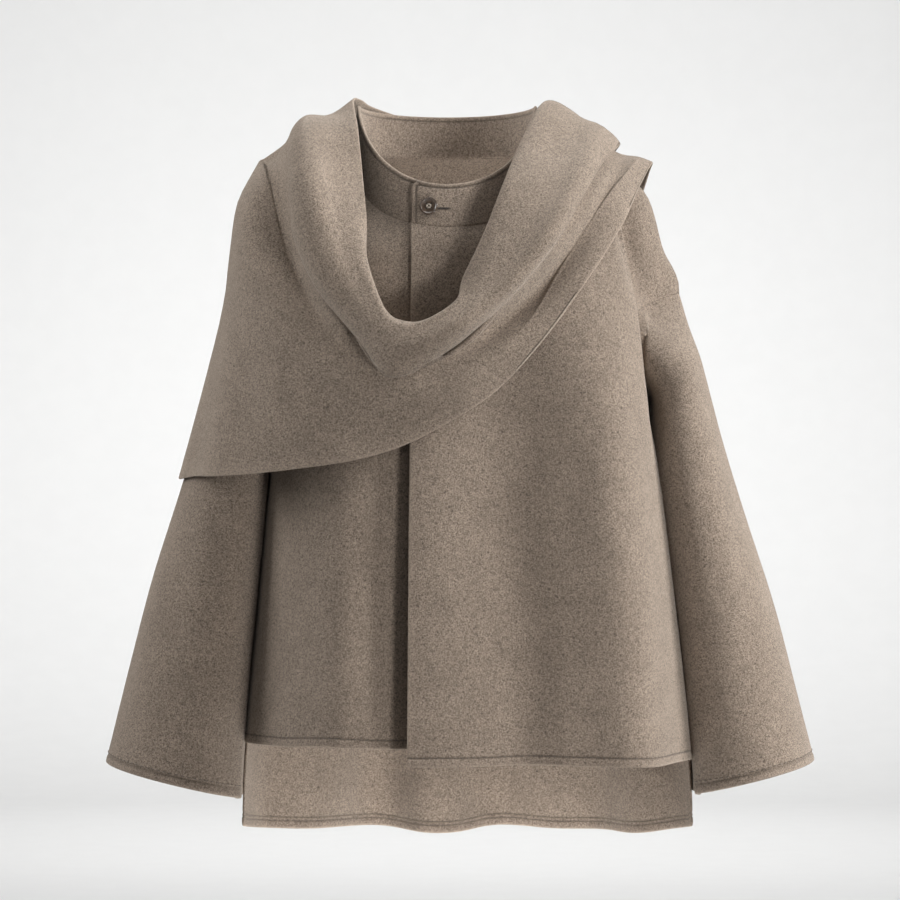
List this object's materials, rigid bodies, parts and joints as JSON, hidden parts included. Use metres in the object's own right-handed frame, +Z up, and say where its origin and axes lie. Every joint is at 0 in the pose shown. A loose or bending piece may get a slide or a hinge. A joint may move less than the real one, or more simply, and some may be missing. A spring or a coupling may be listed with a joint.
{
  "type": "wool cape coat with draped shawl",
  "caption": "Hip-length wool cape coat with a stand collar, wide low-set sleeves, a longer back and a wide shawl draped over the chest and shoulders, in its worn hollow form.",
  "frame": {"origin": "middle of the ring where the collar is sewn to the body, between the wearer's shoulders", "axes": "+Z up along the garment, the front faces -Y, +X is to the right of someone who looks at the front"},
  "size_m": [0.7102, 0.3258, 0.7506],
  "materials": {
    "coat_wool": "taupe melange wool with a soft short nap",
    "shawl_wool": "the same taupe melange wool, softly draped",
    "horn": "dark brown horn with a satin polish"
  },
  "bodies": {
    "root": {"back": "coat_wool", "front_left": "coat_wool", "front_right": "coat_wool", "sleeve_left": "coat_wool", "sleeve_right": "coat_wool", "collar": "coat_wool", "shawl_back": "shawl_wool", "shawl_front": "shawl_wool", "shawl_tail": "shawl_wool", "button": "horn"}
  },
  "joints": []
}
